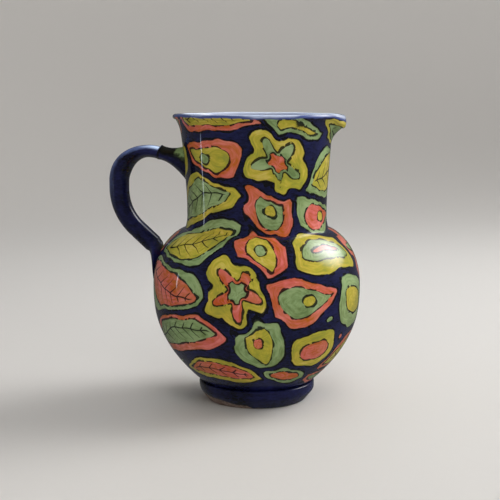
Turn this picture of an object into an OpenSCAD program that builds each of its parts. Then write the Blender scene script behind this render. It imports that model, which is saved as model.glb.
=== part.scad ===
// Hand-thrown earthenware pouring jug: foot ring, round belly, flared neck with a beaded rim,
// pulled pouring lip, strap handle with its root and tail, and the white glaze lining.
// Millimetres, +Z up. The origin is the centre of the foot's underside. The lip points along +X
// and the handle along -X.

/* [Foot] */
// Height of the foot ring, from the table to the joint with the belly
foot_h = 13.5; // [9:0.5:20]
// Diameter of the foot ring
foot_d = 81.2; // [74:0.2:96]
// Width of the ring's wall, seen from below
foot_wall = 11; // [9.5:0.5:14]
// Height of the bare bevel round the foot's lower edge
bevel_h = 7.5; // [3:0.5:8.5]
// How far the bevel runs in under the foot
bevel_w = 6.4; // [2:0.1:7.5]
// Step from the foot's side in to the foot of the belly
foot_step = 2.2; // [0.5:0.1:4]
// Depth of the hollow under the jug
recess_d = 8; // [5:0.5:8.5]

/* [Belly] */
// Widest diameter of the belly
belly_d = 144.6; // [128:0.2:170]
// Height from the foot joint to the widest level
belly_low_h = 66.5; // [50:0.5:90]
// Height from the widest level to the neck joint
belly_top_h = 41; // [30:0.5:60]
// Thickness of the floor
floor_t = 6; // [5:0.5:9]
// Width of the rounding between the flat floor and the inner wall
floor_round = 8; // [4:0.5:14]
// Thickness of the walls of the belly and the neck
wall = 4.8; // [3:0.1:7]
// Rounding of the shoulder's inner edge
shoulder_round = 2.5; // [1:0.1:2.9]

/* [Neck] */
// Height of the neck, from the shoulder to the top of the rim
neck_h = 79; // [66:0.5:100]
// Diameter of the neck at its waist
neck_d = 97; // [80:0.5:110]
// How far the neck spreads where it stands on the shoulder
cove_w = 1.5; // [0.5:0.1:4]
// Height of that spread
cove_h = 9; // [4:0.5:14]
// Height of the waist above the shoulder
waist_h = 16; // [15:0.5:26]
// Diameter of the rim, over its bead
mouth_d = 115.8; // [112:0.2:130]
// Height of the rim's bead
bead_h = 3.7; // [2:0.1:6]
// Rounding of the rim's inner edge
rim_round = 2; // [0.5:0.1:2.5]
// Thickness of the white glaze inside
lining_t = 0.4; // [0.2:0.05:1]

/* [Lip] */
// How far the lip's nose stands out past the rim's bead
lip_reach = 3.6; // [2:0.1:12]
// Height of the nose
nose_h = 9.4; // [6:0.2:14]
// How far the top of the nose lies below the rim
nose_drop = 0.7; // [0:0.1:4]
// Half the radial thickness of the nose
nose_t = 3; // [2:0.1:4]
// Thickness of the lip's edge, from the nose in to the channel
lip_edge = 5; // [4.5:0.1:7]
// How far below the rim the lip starts
lip_h = 24; // [20:0.5:34]
// Angle that the lip takes up round the rim
lip_angle = 56; // [40:1:80]

/* [Handle] */
// Height of the strap's middle line above the shoulder, at its seam with the root
root_h = 51.4; // [46:0.2:58]
// Distance from the neck to the seam between root and strap
root_l = 16.8; // [12:0.2:20]
// Height of the root's pad on the neck
root_pad_h = 28; // [22:0.5:40]
// Width of the root's pad on the neck
root_pad_w = 31; // [26:0.5:40]
// Height of the root's raised edge over the strap, on top of the seam
root_edge = 1.4; // [0.3:0.1:2.5]
// Step from the root in to the strap, at the seam's sides and underside
root_step = 0.3; // [0.1:0.1:1]
// Angle at which the strap rises from the seam
strap_rise = 14; // [0:1:25]
// Straight stretch of the strap after the seam
strap_start = 3; // [2:0.5:10]
// Radius of the strap's upper bend, at its middle line
top_bend = 21.3; // [17:0.2:28]
// Upright stretch of the strap below the upper bend
strap_fall = 5; // [0.5:0.5:12]
// Radius of the strap's lower bend, at its middle line
low_bend = 38; // [28:0.5:46]
// Angle between the strap's lower stretch and the vertical
strap_slope = 47; // [42:1:54]
// Thickness of the strap at its root
strap_t_top = 8.6; // [7:0.2:12]
// Thickness of the strap at its side, where it is thickest
strap_t_side = 14; // [9:0.2:15]
// Thickness of the strap at its lower end
strap_t_end = 12.8; // [8:0.2:14]
// Width of the strap at its root
strap_w_top = 25; // [18:0.5:30]
// Width of the strap at its lower end
strap_w_end = 19; // [15:0.5:26]
// Length of the tail above the place where the strap's middle line meets the belly
tail_neck = 7.5; // [6:0.5:12]
// Height of the tail's run down the belly
tail_run = 23; // [14:0.5:30]
// How far the tail spreads to each side at its middle
tail_spread = 2.5; // [0:0.1:5]
// Half the thickness of the tail at its lower end
tail_tip = 0.6; // [0.4:0.1:1.5]

/* [Hidden] */

// Fineness of turned forms, and of the rings and steps of drawn ones
$fn = 96;
ring_n = 24;
curve_n = 18;
lip_n = 32;
// Overrun of the cuts
over = 1;

// Fullness of the belly below and above its widest level, as powers
low_power = 2.35;
top_power = 2.4;
top_fall = 0.714;
// Share of the neck's spread that is slow taper, and the powers of taper and flare
taper_share = 0.58;
taper_power = 1.3;
flare_power = 12;
// Powers of the lip's underside, its channel and its narrowing to both sides
nose_power = 2.6;
channel_power = 1.8;
lip_fade = 2.6;
// Power that squares the nose's round: 1 leaves it oval
square_power = 0.65;
// Power of the handle's section: 2 is an ellipse, less draws its sides to a soft edge
strap_power = 1.75;
// Shares of the strap's turn over which it thickens from its root size to its side size
thicken_shares = [0.1, 0.55];
// Shares of that turn over which it thins again to its lower end
thin_shares = [0.6, 1];
// Powers by which the root's underside and sides spread, and by which the tail thins
pad_power = 1.7;
side_power = 1.6;
thin_power = 1.6;
// Power by which the tail's end is blunt
blunt_power = 4;
// Sag of the root's top between the seam and the neck, as a share of its height there
sag_share = 0.24;
// Rise of the pad's top over the strap's middle line, as a share of the pad's height
pad_rise_share = 0.2;

// Levels
wide_z = foot_h + belly_low_h;
neck_z = wide_z + belly_top_h;
jug_h = neck_z + neck_h;
floor_z = recess_d + floor_t;

// Radii
foot_r = foot_d / 2;
foot_in_r = foot_r - foot_wall;
belly_r = belly_d / 2;
seat_r = foot_r - foot_step;
waist_r = neck_d / 2;
joint_r = waist_r + cove_w;
bead_r = bead_h / 2;
mouth_r = mouth_d / 2;
bead_at = mouth_r - bead_r;
under_bead_z = jug_h - bead_h;

// Radius of the belly's outside at height z
function belly_at(z) =
    z < wide_z
    ? seat_r + (belly_r - seat_r) * (1 - pow(min(1, (wide_z - z) / belly_low_h), low_power))
    : joint_r + (belly_r - joint_r)
      * pow(1 - pow(min(1, (z - wide_z) / belly_top_h), top_power), top_fall);

// Radius of the neck's outside at height z
function neck_at(z) =
    let (up = max(0, min(1, (z - neck_z - waist_h) / (neck_h - waist_h - bead_h))),
         low = max(0, 1 - (z - neck_z) / cove_h))
    waist_r + cove_w * low * low
    + (bead_at - waist_r) * (taper_share * pow(up, taper_power)
                             + (1 - taper_share) * pow(up, flare_power));

// Points of an arc or half oval from angle a to angle b, about a centre, by two half sizes
function arc(centre, rx, rz, a, b, n) =
    [for (i = [0 : n]) let (t = a + (b - a) * i / n)
        centre + [rx * cos(t), rz * sin(t)]];

// The same to the right of its centre, drawn out to a rounded square by a power under 1
function squared_arc(centre, rx, rz, power, n) =
    [for (i = [0 : n]) let (t = -90 + 180 * i / n)
        centre + [rx * pow(cos(t), power), rz * sign(t) * pow(abs(sin(t)), power)]];

// Shares from 0 to 1, closer together near 1, where the curves are tighter
function closing_shares(n) = [for (i = [0 : n]) sin(90 * i / n)];

// Outside of the belly, from the foot joint up to the neck joint
belly_outline = concat(
    [for (s = closing_shares(curve_n)) let (z = wide_z - belly_low_h * (1 - s))
        [belly_at(z), z]],
    [for (s = closing_shares(curve_n)) if (s > 0) let (z = wide_z + belly_top_h * s)
        [belly_at(z), z]]);

// Outside of the neck, from the shoulder up to the underside of the bead
neck_outline = [for (i = [0 : 2 * curve_n])
    let (z = neck_z + (neck_h - bead_h) * sin(45 * i / curve_n)) [neck_at(z), z]];

// Inside of the belly for a wall of thickness w, from the floor up to the neck joint
function belly_cavity(w) =
    let (bottom = floor_z + w - wall,
         top = neck_z - w,
         floor_r = seat_r - floor_round - (w - wall),
         edge_r = joint_r - w + shoulder_round)
    concat(
        [[0, bottom]],
        [for (s = closing_shares(curve_n))
            let (z = bottom + (wide_z - bottom) * s,
                 k = 1 - pow(1 - s, low_power))
            [floor_r + (belly_r - w - floor_r) * k, z]],
        [for (s = closing_shares(curve_n)) if (s > 0)
            [edge_r + (belly_r - w - edge_r) * pow(1 - pow(s, top_power), top_fall),
             wide_z + (top - wide_z) * s]],
        [for (p = arc([edge_r, top + shoulder_round], shoulder_round, shoulder_round, 270, 180, 4))
            if (p[0] < edge_r) p]);

// Inside of the neck for a wall of thickness w, from the shoulder up to the rim's inner rounding
function neck_cavity(w) =
    [for (i = [0 : 2 * curve_n])
        let (z = neck_z + (neck_h - rim_round) * sin(45 * i / curve_n)) [neck_at(z) - w, z]];

// Section of the neck between its foot and the rim
neck_section = concat(
    neck_outline,
    [for (p = arc([bead_at, jug_h - bead_r], bead_r, bead_r, -90, 90, 10))
        if (p[1] > under_bead_z) p],
    [for (p = arc([neck_at(jug_h) - wall + rim_round, jug_h - rim_round],
                  rim_round, rim_round, 90, 180, 5)) if (p[1] > jug_h - rim_round) p],
    [for (i = [2 * curve_n : -1 : 0]) neck_cavity(wall)[i]]);

// Solid drawn over a list of rings with equal numbers of points, closed flat at both ends
module skin(rings) {
    n = len(rings[0]);
    m = len(rings);
    sides = [for (j = [0 : m - 2], i = [0 : n - 1])
        let (a = j * n + i, b = j * n + (i + 1) % n)
        each [[a, a + n, b + n], [a, b + n, b]]];
    first = [for (i = [0 : n - 1]) i];
    last = [for (i = [n - 1 : -1 : 0]) (m - 1) * n + i];
    polyhedron(points = [for (ring = rings) each ring], faces = concat(sides, [first, last]));
}

// Oval of half width w and half thickness t, with its sides drawn to a soft edge
function oval(w, t) =
    [for (i = [0 : ring_n - 1])
        let (a = 360 * i / ring_n, c = cos(a), s = sin(a), p = 2 / strap_power)
        [w * sign(c) * pow(abs(c), p), t * sign(s) * pow(abs(s), p)]];

// The same oval set across a path in the XZ plane: at a point, square to its heading
function oval_ring(at, heading, w, t) =
    [for (q = oval(w, t))
        [at[0] + q[1] * sin(heading), q[0], at[1] - q[1] * cos(heading)]];

// Solid outside of the belly and of the neck, which trims what is luted to them
module belly_form() {
    rotate_extrude() polygon(concat(belly_outline, [[0, neck_z], [0, foot_h]]));
}

module neck_form() {
    rotate_extrude() polygon(concat(neck_outline, [[0, under_bead_z], [0, neck_z]]));
}

// Foot ring with its bare bevel and a slightly open inner side
foot_draft = foot_wall * 0.1;
module foot_ring() {
    color("saddlebrown")
    rotate_extrude()
    polygon([
        [foot_in_r + foot_draft, 0],
        [foot_r - bevel_w, 0],
        [foot_r, bevel_h],
        [foot_r, foot_h],
        [foot_in_r, foot_h],
        [foot_in_r, recess_d]]);
}

// Belly with its floor let into the foot ring
module belly() {
    color("midnightblue")
    rotate_extrude()
    polygon(concat(
        [[0, recess_d], [foot_in_r, recess_d], [foot_in_r, foot_h]],
        belly_outline,
        [let (c = belly_cavity(wall)) each [for (i = [len(c) - 1 : -1 : 0]) c[i]]]));
}

// Wedge of the neck that the lip takes, from the lip's foot up past the rim
lip_z = jug_h - lip_h;
module lip_wedge() {
    far = mouth_d;
    half = lip_angle / 2;
    translate([0, 0, lip_z])
    linear_extrude(lip_h + over)
    polygon([[0, 0], [far * cos(half), -far * sin(half)], [far * cos(half), far * sin(half)]]);
}

// Neck with its beaded rim, open where the lip is
module neck() {
    color("darkslateblue")
    difference() {
        rotate_extrude() polygon(neck_section);
        lip_wedge();
    }
}

// Section of the lip: the neck's own section at k = 0, the drawn-out nose at k = 1
function lip_section(k) =
    let (nose_at = mouth_r + lip_reach - nose_t,
         at = bead_at + (nose_at - bead_at) * k,
         half_t = bead_r + (nose_t - bead_r) * k,
         half_h = bead_r + (nose_h / 2 - bead_r) * k,
         foot_at = neck_at(lip_z),
         edge_at = mouth_r + lip_reach - lip_edge,
         out_rise = lip_h - bead_h,
         in_rise = lip_h - rim_round,
         edge_r = (1 - k) * (neck_at(jug_h) - wall) + k * edge_at,
         top = jug_h - nose_drop * k,
         rise = lip_h - nose_drop * k)
    concat(
        [for (i = [0 : 11])
            let (s = sin(90 * i / 11),
                 plain = neck_at(lip_z + out_rise * s),
                 drawn = foot_at + (nose_at - foot_at) * pow(s, nose_power))
            [plain + (drawn - plain) * k, lip_z + (rise - 2 * half_h) * s]],
        [for (p = squared_arc([at, top - half_h], half_t, half_h, 1 - (1 - square_power) * k, 12))
            if (p[1] > top - 2 * half_h) p],
        [for (i = [0 : 4])
            let (t = 90 + 18 * i)
            [edge_r + rim_round + rim_round * cos(t), top - rim_round + rim_round * sin(t)]],
        [for (i = [9 : -1 : 0])
            let (s = sin(90 * i / 9),
                 plain = neck_at(lip_z + in_rise * s) - wall,
                 drawn = foot_at - wall + (edge_at - foot_at + wall) * pow(s, channel_power))
            [plain + (drawn - plain) * k, lip_z + (in_rise - nose_drop * k) * s]]);

// Pouring lip, pulled out of the rim to a nose over a channel
module pouring_lip() {
    color("goldenrod")
    skin([for (j = [0 : lip_n])
        let (a = lip_angle * (j / lip_n - 0.5),
             k = pow(cos(90 * 2 * a / lip_angle), lip_fade))
        [for (p = lip_section(k)) [p[0] * cos(a), p[0] * sin(a), p[1]]]]);
}

// Strap's middle line. It rises from the seam, bends over, falls, and bends in to its slope.
function left_of(heading) = [-sin(heading), cos(heading)];
function bend(centre, radius, heading) = centre - radius * left_of(heading);
strap_z = neck_z + root_h;
seam_x = -(neck_at(strap_z) + root_l);
first = 180 - strap_rise;
last = 270 + strap_slope;
top_centre = [seam_x, strap_z] + strap_start * [cos(first), sin(first)]
             + top_bend * left_of(first);
low_centre = top_centre + [low_bend - top_bend, -strap_fall];
slope_start = bend(low_centre, low_bend, last);
slope_step = [cos(last), sin(last)];

// Length of the sloping stretch, by halving, where the middle line meets the belly
function meet(a, b, n) =
    n == 0
    ? (a + b) / 2
    : let (m = (a + b) / 2, p = slope_start + slope_step * m)
      -p[0] > (p[1] > neck_z ? joint_r : belly_at(p[1])) ? meet(m, b, n - 1) : meet(a, m, n - 1);
slope_l = meet(0, belly_d, 30);
landing = slope_start + slope_step * slope_l;
tail_start = slope_start + slope_step * (slope_l - tail_neck);

// Half thickness of the strap at a share of its turn, and its half width
function eased(s) = let (k = max(0, min(1, s))) k * k * (3 - 2 * k);
function eased_over(shares, s) = eased((s - shares[0]) / (shares[1] - shares[0]));
function strap_half_t(share) =
    (strap_t_top + (strap_t_side - strap_t_top) * eased_over(thicken_shares, share)
     - (strap_t_side - strap_t_end) * eased_over(thin_shares, share)) / 2;
function strap_half_w(share) = (strap_w_top + (strap_w_end - strap_w_top) * share) / 2;

// A station on the strap: its point, its heading and the share of the turn that it has made
function station(at, heading) =
    let (share = (heading - first) / (last - first))
    oval_ring(at, heading, strap_half_w(share), strap_half_t(share));

// Strap handle
module handle() {
    color("navy")
    skin(concat(
        [station([seam_x, strap_z], first)],
        [for (i = [0 : 22]) let (h = first + (270 - first) * i / 22)
            station(bend(top_centre, top_bend, h), h)],
        [for (i = [0 : 10]) let (h = 270 + strap_slope * i / 10)
            station(bend(low_centre, low_bend, h), h)],
        [station(tail_start, last)]));
}

// Root of the handle: a stub with a raised edge at the seam, which spreads to a pad on the neck.
// Its rings start square to the strap and turn upright towards the neck.
module handle_root() {
    inner_x = -(waist_r - wall / 2);
    half_t = strap_half_t(0);
    top_1 = strap_z + root_pad_h * pad_rise_share;
    color("olivedrab")
    difference() {
        skin([for (i = [14 : -1 : 0])
            let (s = i / 14,
                 x = seam_x + (inner_x - seam_x) * s,
                 lean = strap_rise * (1 - s) * (1 - s),
                 sag = sag_share * strap_t_top * sin(180 * pow(s, 0.8)),
                 top = strap_z + half_t + root_edge
                       + (top_1 - strap_z - half_t - root_edge) * s - sag,
                 low = strap_z - half_t - root_step
                       - (root_pad_h - top_1 + strap_z - half_t - root_step) * pow(s, pad_power),
                 w = strap_w_top / 2 + root_step
                     + (root_pad_w - strap_w_top) / 2 * pow(s, side_power))
            [for (q = oval(w, (top - low) / 2))
                [x + q[1] * sin(lean), q[0], (top + low) / 2 + q[1] * cos(lean)]]]);
        neck_form();
    }
}

// Middle line of the tail at share s: it leaves the strap in line with it and settles on the
// belly. Its rings turn from the strap's heading to that of the belly's side.
tail_tip_z = landing[1] - tail_run;
tail_lift = -tail_start[0] - belly_at(tail_start[1]);
function tail_line(s) =
    let (z = (1 - s) * (1 - s) * tail_start[1] + 2 * s * (1 - s) * landing[1] + s * s * tail_tip_z)
    [-(belly_at(z) + tail_lift * (1 - s) * (1 - s)), z];
function side_heading(z) = 270 + atan((belly_at(z) - belly_at(z - tail_tip)) / tail_tip);

// Tail of the handle: the strap's end, smoothed down the belly until it dies away
module handle_tail() {
    half_t = strap_half_t(1);
    half_w = strap_half_w(1);
    color("mediumblue")
    difference() {
        skin([for (s = closing_shares(18))
            let (at = tail_line(s),
                 heading = last + (side_heading(at[1]) - last) * eased(s),
                 t = tail_tip + (half_t - tail_tip) * pow(1 - s, thin_power),
                 w = tail_tip + (half_w - tail_tip + tail_spread * sin(180 * s))
                     * sqrt(1 - pow(s, blunt_power)))
            oval_ring(at, heading, w, t)]);
        belly_form();
    }
}

// White glaze inside, from the floor up to the rim's inner rounding, open at the lip
module glaze_lining() {
    color("ghostwhite")
    difference() {
        rotate_extrude()
        polygon(concat(
            belly_cavity(wall),
            neck_cavity(wall),
            [let (c = concat(belly_cavity(wall + lining_t), neck_cavity(wall + lining_t)))
                each [for (i = [len(c) - 1 : -1 : 0]) c[i]]]));
        lip_wedge();
    }
}

foot_ring();
belly();
neck();
pouring_lip();
handle_root();
handle();
handle_tail();
glaze_lining();
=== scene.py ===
"""Painted earthenware pouring jug.

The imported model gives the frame. This script lays the glazed and painted surfaces over it: belly,
neck with its lip, white lining, foot ring and handle, each worked out with numpy. Shapes are
computed in millimetres and put into Blender in metres, +Z up, with the lip along +X.
"""

import math

import bpy
import numpy as np
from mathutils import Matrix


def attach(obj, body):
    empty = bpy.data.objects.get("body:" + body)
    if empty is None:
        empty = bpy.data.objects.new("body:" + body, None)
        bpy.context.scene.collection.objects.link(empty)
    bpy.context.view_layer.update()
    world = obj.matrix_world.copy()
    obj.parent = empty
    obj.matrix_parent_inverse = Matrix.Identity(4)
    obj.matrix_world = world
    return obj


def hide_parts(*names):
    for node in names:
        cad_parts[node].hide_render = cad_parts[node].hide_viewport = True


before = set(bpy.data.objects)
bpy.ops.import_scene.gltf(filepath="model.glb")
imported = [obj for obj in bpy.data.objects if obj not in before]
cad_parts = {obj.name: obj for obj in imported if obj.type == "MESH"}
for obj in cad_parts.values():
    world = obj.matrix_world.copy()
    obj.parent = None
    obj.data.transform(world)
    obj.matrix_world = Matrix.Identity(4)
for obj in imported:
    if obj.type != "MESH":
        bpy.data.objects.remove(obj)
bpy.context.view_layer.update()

bl_info = {
    "name": "Painted pouring jug",
    "version": (1, 0, 0),
    "blender": (4, 5, 0),
    "location": "3D View > Sidebar > Jug",
    "description": "Glazed and painted surfaces of a hand-thrown pouring jug",
    "category": "Object",
}

MM = 0.001

# Sizes of the jug, as its source has them
FOOT_H, FOOT_D, FOOT_WALL = 13.5, 81.2, 11.0
BEVEL_H, BEVEL_W, FOOT_STEP, RECESS_D = 7.5, 6.4, 2.2, 8.0
BELLY_D, BELLY_LOW_H, BELLY_TOP_H = 144.6, 66.5, 41.0
FLOOR_T, FLOOR_ROUND, WALL, SHOULDER_ROUND = 6.0, 8.0, 4.8, 2.5
NECK_H, NECK_D, COVE_W, COVE_H, WAIST_H = 79.0, 97.0, 1.5, 9.0, 16.0
MOUTH_D, BEAD_H, RIM_ROUND, LINING_T = 115.8, 3.7, 2.0, 0.4
LIP_REACH, NOSE_H, NOSE_DROP, NOSE_T = 3.6, 9.4, 0.7, 3.0
LIP_EDGE, LIP_H, LIP_ANGLE = 5.0, 24.0, 56.0
ROOT_H, ROOT_L, ROOT_PAD_H, ROOT_PAD_W = 51.4, 16.8, 28.0, 31.0
ROOT_EDGE, ROOT_STEP, STRAP_RISE, STRAP_START = 1.4, 0.3, 14.0, 3.0
TOP_BEND, STRAP_FALL, LOW_BEND, STRAP_SLOPE = 21.3, 5.0, 38.0, 47.0
STRAP_T_TOP, STRAP_T_SIDE, STRAP_T_END = 8.6, 14.0, 12.8
STRAP_W_TOP, STRAP_W_END = 25.0, 19.0
TAIL_NECK, TAIL_RUN, TAIL_SPREAD, TAIL_TIP = 7.5, 23.0, 2.5, 0.6
LOW_POWER, TOP_POWER, TOP_FALL = 2.35, 2.4, 0.714
TAPER_SHARE, TAPER_POWER, FLARE_POWER = 0.58, 1.3, 12.0
NOSE_POWER, CHANNEL_POWER, LIP_FADE, SQUARE_POWER = 2.6, 1.8, 2.6, 0.65
STRAP_POWER, PAD_POWER, SIDE_POWER, THIN_POWER, BLUNT_POWER = 1.75, 1.7, 1.6, 1.6, 4.0
THICKEN_SHARES, THIN_SHARES = (0.1, 0.55), (0.6, 1.0)
SAG_SHARE, PAD_RISE_SHARE = 0.24, 0.2

WIDE_Z = FOOT_H + BELLY_LOW_H
NECK_Z = WIDE_Z + BELLY_TOP_H
JUG_H = NECK_Z + NECK_H
FLOOR_Z = RECESS_D + FLOOR_T
LIP_Z = JUG_H - LIP_H
FOOT_R = FOOT_D / 2
FOOT_IN_R = FOOT_R - FOOT_WALL
BELLY_R = BELLY_D / 2
SEAT_R = FOOT_R - FOOT_STEP
WAIST_R = NECK_D / 2
JOINT_R = WAIST_R + COVE_W
BEAD_R = BEAD_H / 2
MOUTH_R = MOUTH_D / 2
BEAD_AT = MOUTH_R - BEAD_R
NOSE_R = MOUTH_R + LIP_REACH
FLOOR_R = SEAT_R - FLOOR_ROUND
INNER_R = JOINT_R - WALL + SHOULDER_ROUND
INNER_TOP = NECK_Z - WALL

# Fineness of the turned pieces: columns round the jug, and rows up the belly and up the neck
COLUMNS = 480
BELLY_ROWS = 142
NECK_ROWS = 64

# Unevenness of the rim in height, and how far the rim sinks with it. A wave has its rise, how
# many times it goes round the jug, and its start in radians
RIM_WAVES, RIM_SINK = ((0.16, 3, 1 + np.pi / 2), (0.1, 7, 0)), 0.2

# Lining: how far it stands proud of the wall, and the rows over which it thins out at the rim
LINING_PROUD, THIN_ROWS = 0.2, 5

# Foot ring: how far its inside leans, how far it reaches under the belly, and the rounding of
# its corners from the inside of its base round the outside to the recess
FOOT_LEAN, FOOT_LAP = FOOT_WALL * 0.1, 2.0
FOOT_ROUNDS = (0.8, 0.7, 2.2, 1.4, 0.1, 0.2, 0.3)
# Unevenness of the bevel's upper edge, how far it sinks, and how far above and below it fades
EDGE_WAVES, EDGE_SINK, EDGE_FADE = ((0.22, 3, 0.6), (0.16, 5, np.pi / 2)), 0.2, 5

# Most that the upper side of the handle's tail is filled, where it runs on into the belly
TAIL_FILL = 2.5

# Share of the bead's face, from below, up to which the paint covers it
WHITE_SHARE = 0.52

# Floor, in metres: radius of its flat part, bend up into the backdrop, and the backdrop's top
STAGE_R, STAGE_BEND, STAGE_H = 1.1, 1.6, 3.0
STAGE_COLUMNS = 96

# Value of an edge distance far from any painted motif
FAR = 20.0


# Shapes

def belly_radius(z):
    """Outer radius of the belly: a power curve from foot to widest level, another to the neck."""
    low = np.clip((WIDE_Z - z) / BELLY_LOW_H, 0, 1)
    top = np.clip((z - WIDE_Z) / BELLY_TOP_H, 0, 1)
    below = SEAT_R + (BELLY_R - SEAT_R) * (1 - low ** LOW_POWER)
    above = JOINT_R + (BELLY_R - JOINT_R) * (1 - top ** TOP_POWER) ** TOP_FALL
    return np.where(z < WIDE_Z, below, above)


def neck_radius(z):
    """Outer radius of the neck: waist, plus a foot spread, a slow taper and a flare at the rim."""
    up = np.clip((z - NECK_Z - WAIST_H) / (NECK_H - WAIST_H - BEAD_H), 0, 1)
    low = np.clip(1 - (z - NECK_Z) / COVE_H, 0, 1)
    spread = TAPER_SHARE * up ** TAPER_POWER + (1 - TAPER_SHARE) * up ** FLARE_POWER
    return WAIST_R + COVE_W * low ** 2 + (BEAD_AT - WAIST_R) * spread


def uneven(turn, z):
    """Unevenness of the thrown wall: a few long waves round and up the jug, dying at the foot."""
    waves = (0.10 * np.cos(2 * turn + z / 31) + 0.07 * np.sin(3 * turn - z / 23 + 1)
             + 0.05 * np.cos(5 * turn + z / 14 + 2) + 0.04 * np.sin(z / 4.1 + 0.7 * np.sin(turn)))
    return waves * np.clip((z - FOOT_H) / 20, 0, 1)


def waved(turn, waves):
    """Sum of sine waves round the jug, each of a rise, a number and a start."""
    return sum(rise * np.sin(number * turn + start) for rise, number, start in waves)


def steps(count, tight_start=False, tight_end=False):
    """Shares from 0 to 1, by a quarter wave closer together at the end where a curve is tight."""
    t = np.linspace(0, 1, count)
    if tight_end:
        return np.sin(np.pi / 2 * t)
    if tight_start:
        return 1 - np.cos(np.pi / 2 * t)
    return t


def turns(columns=COLUMNS):
    """Angles of the columns round the jug."""
    return np.arange(columns) * 2 * np.pi / columns


def turned(sections):
    """Points of a turned surface, from the radius and height of each row at each turn about Z."""
    turn = turns(sections.shape[1])
    r, z = sections[..., 0], sections[..., 1]
    return np.stack([r * np.cos(turn), r * np.sin(turn), z], axis=-1)


def around(r, z, columns=COLUMNS):
    """Sections with the same radii and heights at every turn."""
    section = np.stack(np.broadcast_arrays(r, z), axis=-1).astype(float)
    return np.repeat(section.reshape(-1, 1, 2), columns, axis=1)


def arc(r, z, radius, start, end, count=7):
    """Radii and heights along a circle about r and z, between two angles in degrees."""
    a = np.radians(np.linspace(start, end, count))[:, None]
    return r + radius * np.cos(a), z + radius * np.sin(a)


def rounded(points, radii, count=7):
    """Outline whose corners are eased: each is a quadratic curve between points on its two sides."""
    points = np.asarray(points, float)
    before = np.roll(points, 1, axis=0) - points
    after = np.roll(points, -1, axis=0) - points
    radii = np.asarray(radii, float)[:, None]
    start = points + before / np.linalg.norm(before, axis=1, keepdims=True) * radii
    end = points + after / np.linalg.norm(after, axis=1, keepdims=True) * radii
    t = steps(count)[None, :, None]
    curves = (start[:, None] * (1 - t) ** 2 + points[:, None] * 2 * t * (1 - t)
              + end[:, None] * t ** 2)
    return curves.reshape(-1, 2)


def grid_faces(rows, columns, looped=False):
    """Quads of a grid that closes round its columns, and over its rows if looped."""
    j, i = np.meshgrid(np.arange(rows if looped else rows - 1), np.arange(columns), indexing="ij")
    below, above = j * columns, (j + 1) % rows * columns
    beside = (i + 1) % columns
    return np.stack([below + i, below + beside, above + beside, above + i], axis=-1).reshape(-1, 4)


def cap_faces(rows, columns):
    """Triangles from two poles, which follow the grid's points, to its first and its last row."""
    poles = np.full(columns, rows * columns)
    first = np.arange(columns)
    beside = np.roll(first, -1)
    last = (rows - 1) * columns
    return np.concatenate([np.stack([poles, beside, first], axis=-1),
                           np.stack([poles + 1, first + last, beside + last], axis=-1)])


def build(name, grid, material, replaced, poles=(), attributes=None, sharp_rows=()):
    """Make a closed, smooth-shaded piece from a grid of points in millimetres.

    The grid has rows, columns and 3 coordinates. It closes round its columns. Its ends are
    closed by two poles, or, without poles, by joining the last row to the first.
    """
    rows, columns = grid.shape[:2]
    points = np.concatenate([grid.reshape(-1, 3), np.reshape(poles, (-1, 3))])
    faces = grid_faces(rows, columns, looped=not poles).tolist()
    if poles:
        faces += cap_faces(rows, columns).tolist()
    mesh = bpy.data.meshes.new(name)
    mesh.from_pydata(points * MM, [], faces)
    mesh.shade_smooth()
    if len(sharp_rows):
        ends = np.empty(len(mesh.edges) * 2, int)
        mesh.edges.foreach_get("vertices", ends)
        row = ends.reshape(-1, 2) // columns
        crisp = (row[:, 0] == row[:, 1]) & np.isin(row[:, 0], sharp_rows)
        mesh.attributes.new("sharp_edge", "BOOLEAN", "EDGE").data.foreach_set("value", crisp)
    for key, values in (attributes or {}).items():
        values = values.reshape(rows * columns, -1)
        if poles:
            values = np.concatenate([values, values[[0, -1]]])
        flat = values.shape[1] == 1
        layer = mesh.attributes.new(key, "FLOAT" if flat else "FLOAT_VECTOR", "POINT")
        layer.data.foreach_set("value" if flat else "vector", values.ravel().astype(np.float32))
    mesh.validate()
    mesh.materials.append(material)
    piece = bpy.data.objects.new(name, mesh)
    bpy.context.scene.collection.objects.link(piece)
    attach(piece, "root")
    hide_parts(*replaced)


# Painted design

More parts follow.
